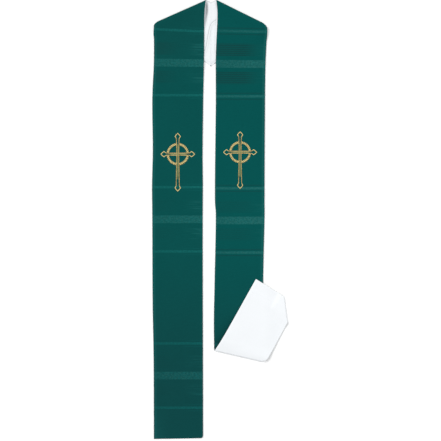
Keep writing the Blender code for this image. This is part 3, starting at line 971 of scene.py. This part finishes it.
def green_brocade(side):
    """Dark teal cloth with tone-on-tone stripes across it, greyer toward the hem, with painted sheen and
    shade.
    """
    s = Shading(f"green_brocade_{side}")
    panel = SimpleNamespace(**{name: pair[side == "right"] for name, pair in BROCADE.items()})
    x, y, inward = s.attribute("weave")
    outer, inner, hem = s.attribute("edges")
    # hollow: on the shell, painted shade beside the turned end's fold.
    hollow, _, _ = s.attribute("creases_and_shade")
    wide, thin, thin_sides, fine, lines = stripes(s, y)
    striped = s.plus(wide, thin)

    slub = s.noise(x, y, 55, 1500, 3, 3)
    cloud = s.noise(x, y, 9, 7, 2, 8)
    streak = s.noise(x, y, 45, 360, 2, 6)
    fleck = s.noise(x, y, 190, 230, 1, 5)
    long_streak = s.noise(x, y, 16, 430, 1, 12)
    tint = s.ramp(s.noise(x, y, 130, 150, 1, 9), 0.4, 0.62)
    zigzag = s.wave(s.plus(y, (s.math("PINGPONG", x, 7 * MM), 0.8)), 5.6 * MM)

    lower = s.ramp(hem, 0.1, panel.lower_end, 1, 0)
    base = s.mix(lower, panel.upper, linear(13, 65.5, 65.5))
    dark = s.mix(lower, linear(17, 64, 63), linear(17, 57, 57))
    light = s.mix(lower, panel.upper_light, linear(18, 84, 84))
    light = s.mix(s.times(tint, 0.4), light, linear(38, 91, 86))

    strong = s.times(s.ramp(inward, *panel.strong), s.ramp(hem, 0.75, 1.15, 0.3))
    shade = s.times(fine, lines, strong, s.plus(0.5, streak))
    shoulder = s.ramp(hem, 1.07, 1.2, 0, panel.shoulder)
    colour = s.mix(s.plus(shade, (thin_sides, panel.dark_sides), shoulder), base, dark)

    speckle = s.ramp(fleck, 0.4, 0.6)
    # Painted sheen: the stripes get lighter toward the right of each panel.
    painted_sheen = s.plus(panel.bright, (inward, panel.change))
    glint = s.times(s.ramp(inward, *panel.glint), s.ramp(long_streak, 0.46, 0.68))
    lightness = s.plus((wide, s.plus(0.42, (zigzag, 0.1), (speckle, 0.46))), (fine, glint))
    lightness = s.math("MINIMUM", s.times(lightness, painted_sheen), 1)
    colour = s.mix(lightness, colour, light)
    thin = s.times(thin, s.ramp(hem, 1.09, 1.19, 1, panel.thin_top))
    side_light = s.times(thin_sides, s.ramp(inward, 0.5, 0.2), panel.side_light)
    lightness = s.plus((thin, s.plus(0.5, (speckle, 0.32))), side_light)
    thin_colour = light if side == "right" else s.mix(lower, linear(18, 95, 92), linear(14, 85, 84))
    colour = s.mix(s.times(lightness, painted_sheen), colour, thin_colour)

    # Lighter bands just inside the outer and inner edges, over the seam allowances, and toward the outer
    # corner at the hem.
    outer_seam = s.band(outer, 2.2 * MM, 8.5 * MM, 3 * MM)
    inner_seam = s.band(inner, 1.8 * MM, 5.5 * MM, 2.4 * MM)
    corner = s.ramp(outer, 5 * MM, 50 * MM, panel.corner, 0)
    corner = s.times(corner, s.ramp(hem, 10 * MM, 110 * MM, 1, 0))
    pressed = s.plus((outer_seam, 0.34), (inner_seam, 0.14), corner)
    colour = s.mix(pressed, colour, light)

    tone = s.plus(0.77, (cloud, 0.1), (slub, 0.1), (streak, 0.14), (fleck, 0.15))
    swell = s.times(s.band(hem, 0.53, 0.74, 0.1), s.plus(1, inward), panel.swell)
    # The tone is darkened by that painted shade beside the turned end.
    tone = s.times(tone, s.plus(1, (hollow, -0.17), swell))
    weave = s.times(s.wave(x, WARP_PITCH), s.wave(y, WEFT_PITCH))
    height = s.plus((weave, 0.35), (slub, 1.2), (striped, 0.5), (wide, zigzag, 0.5))
    s.surface(
        Base_Color=s.toned(tone, colour),
        Normal=s.bumped(height, 0.1 * MM),
        Roughness=s.plus(0.86, (striped, -0.16)),
        Specular_IOR_Level=0.02,
        Sheen_Weight=0.03,
        Sheen_Roughness=0.5,
        Sheen_Tint=(0.05, 0.8, 0.75, 1),
    )
    return s.material


def white_lining(side):
    """White satin lining with a fine twill line, and painted shade in the neck's gap and past the turned
    end's fold.
    """
    s = Shading(f"white_lining_{side}")
    x, y, _ = s.attribute("weave")
    outer, inner, hem = s.attribute("edges")
    lap, pressed, hollow = s.attribute("creases_and_shade")
    cloud = s.noise(x, y, 14, 10, 3, 2)
    streak = s.noise(x, y, 900, 60, 2, 4)
    twill = s.wave(s.plus(x, y), 0.7 * MM)
    # Painted shade: a dark line in the lap's crease with a faint band beside it, a line on the pressed
    # crease, and the hollow value's shade.
    groove = s.plus(
        (s.band(lap, -1.2 * MM, 0.9 * MM, 1.4 * MM), 0.3),
        (s.band(lap, 0, 9 * MM, 9 * MM), 0.05),
        (s.band(pressed, -1, 0.9 * MM, 1.2 * MM), 0.13),
        (hollow, 0.56),
    )
    edge_light = s.ramp(s.math("MINIMUM", outer, inner), 1 * MM, 7 * MM, 0.03, 0)
    hem_light = s.ramp(hem, 35 * MM, 60 * MM, 0.02, 0)
    tone = s.plus(0.955, (cloud, 0.05), (streak, 0.02), (groove, -1), hem_light, edge_light)
    height = s.plus((twill, 0.25), (streak, 0.8), (cloud, 3))
    s.surface(
        Base_Color=s.toned(tone, linear(235, 238, 241)),
        Normal=s.bumped(height, 0.06 * MM),
        Roughness=s.plus(0.5, (streak, 0.12)),
        Specular_IOR_Level=0.3,
        Sheen_Weight=0.08,
    )
    return s.material


def gold_thread():
    """Gold rayon thread: each thread its own tone, with a fine twist and painted shade. The low stitches are
    greener.
    """
    s = Shading("gold_thread")
    tone, share, along = s.attribute("thread")
    # Painted shade at both ends of each thread, where it goes into the cloth.
    ends = s.ramp(s.math("ABSOLUTE", s.plus(share, -0.5)), 0.28, 0.5)
    lit = s.ramp(s.plus(tone, (ends, -0.2)), 0.05, 0.95)
    colour = s.mix(lit, linear(152, 130, 70), linear(232, 209, 140))
    colour = s.mix(s.ramp(share, -0.4, -0.8), colour, linear(124, 140, 92))
    # Painted shade: threads with the lowest tones, mostly those low in the ring's bundles, turn dark olive.
    sunken = s.ramp(tone, 0.05, -0.6)
    s.surface(
        Base_Color=s.mix(sunken, colour, linear(96, 92, 55)),
        Normal=s.bumped(s.wave(along, 0.9 * MM), 0.03 * MM),
        Roughness=0.42,
        Specular_IOR_Level=0.5,
        Sheen_Weight=0.1,
    )
    return s.material


def plain_floor():
    s = Shading("pale_floor")
    s.surface(Base_Color=(0.99, 0.99, 0.99, 1), Roughness=0.9, Specular_IOR_Level=0.05)
    return s.material


def add_object(name, data):
    made = bpy.data.objects.new(name, data)
    bpy.context.scene.collection.objects.link(made)
    return made


def add_piece(mesh, material, node):
    piece = add_object(mesh.name, mesh)
    mesh.materials.append(material)
    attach(piece, "root")
    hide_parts(node)
    return piece


def add_half(side, sections, cross_centre, cross_scale, gold, seed):
    half = Half(side, sections)
    mesh = cloth_mesh(f"lining_{side}_cloth", half, LINING)
    lining = add_piece(mesh, white_lining(side), f"lining_{side}")
    mesh = cloth_mesh(f"shell_{side}_cloth", half, SHELL)
    shell = add_piece(mesh, green_brocade(side), f"shell_{side}")
    mesh = cross_mesh(f"cross_{side}_threads", half, cross_centre, cross_scale, seed)
    cross = add_piece(mesh, gold, f"cross_{side}")
    add_sheet(half, LINING)
    add_sheet(half, SHELL)


def add_sheet(half, cloth):
    flat, area = half.flat_size(cloth.inset)


def add_floor():
    mesh = bpy.data.meshes.new("floor")
    corners = [(x * FLOOR_HALF, y * FLOOR_HALF, 0) for x, y in ((-1, -1), (1, -1), (1, 1), (-1, 1))]
    mesh.from_pydata(corners, [], [(0, 1, 2, 3)])
    floor = add_object("floor", mesh)
    floor.location.z = FLOOR_HEIGHT
    mesh.materials.append(plain_floor())


def add_sun(name, strength, travel, colour):
    lamp = bpy.data.lights.new(name, "SUN")
    lamp.energy = strength
    lamp.angle = SUN_SPREAD
    lamp.color = colour
    add_object(name, lamp).rotation_euler = Vector(travel).to_track_quat("-Z", "Y").to_euler()


def add_light():
    world = bpy.data.worlds.new("soft studio")
    world.use_nodes = True
    sky = world.node_tree.nodes["Background"]
    sky.inputs["Color"].default_value = (0.965, 0.98, 1, 1)
    sky.inputs["Strength"].default_value = 0.66
    bpy.context.scene.world = world
    add_sun("key", 1.5, (0.6, -0.42, -0.68), (1, 0.985, 0.95))
    add_sun("fill", 0.63, (-0.5, -0.25, -0.8), (1, 0.985, 0.96))


def add_camera():
    data = bpy.data.cameras.new("camera")
    data.sensor_width = SENSOR
    data.lens = SENSOR * CAMERA_PLACE[2] / FRAME_WIDTH
    data.clip_end = 100
    camera = add_object("camera", data)
    camera.location = CAMERA_PLACE
    bpy.context.scene.camera = camera


add_camera()
add_light()
add_floor()
gold = gold_thread()
add_half("left", LEFT_SECTIONS, LEFT_CROSS, 1, gold, 11)
add_half("right", RIGHT_SECTIONS, RIGHT_CROSS, RIGHT_CROSS_SCALE, gold, 23)
bpy.context.scene.view_settings.view_transform = "Standard"
